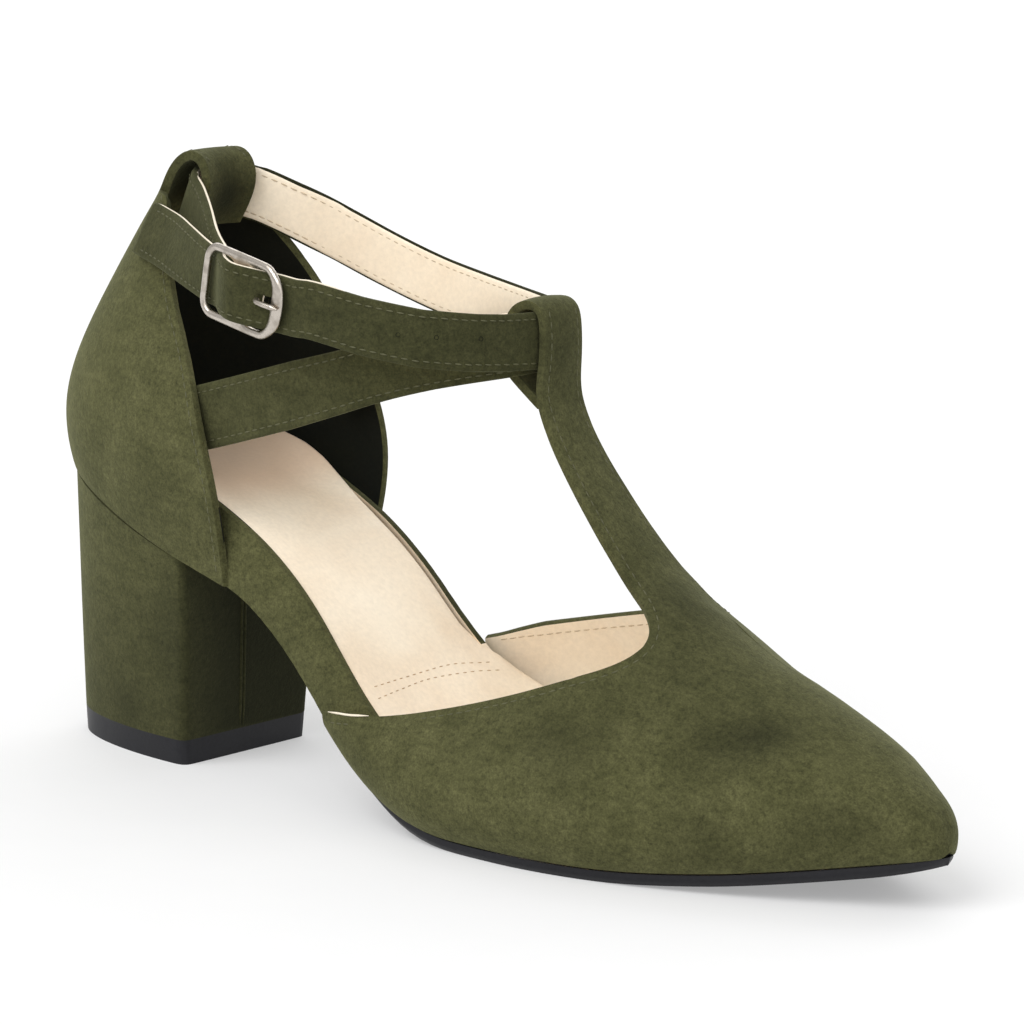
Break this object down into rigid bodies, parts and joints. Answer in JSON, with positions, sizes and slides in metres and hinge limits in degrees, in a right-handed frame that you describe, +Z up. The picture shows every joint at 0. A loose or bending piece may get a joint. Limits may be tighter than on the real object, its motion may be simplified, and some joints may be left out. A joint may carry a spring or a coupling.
{
  "type": "strap heeled shoe",
  "caption": "Right pointed pump in olive suede with a T-shaped instep bar, ankle strap with buckle, crossing side straps and a block heel.",
  "frame": {"origin": "middle of the bounding box, at floor level", "axes": "+X towards the toe, -Y towards the outer side of the foot where the buckle is, +Z up"},
  "size_m": [0.2461, 0.0839, 0.1385],
  "materials": {
    "suede": "napped suede, matt",
    "lining": "smooth, low sheen",
    "sole": "satin",
    "buckle": "bright nickel"
  },
  "bodies": {
    "root": {"upper": "suede", "insole": "lining", "outsole": "sole", "heel": "suede", "heel_top_piece": "sole", "ankle_strap": "suede", "cross_strap": "suede", "buckle_frame": "buckle", "buckle_prong": "buckle"}
  },
  "joints": []
}
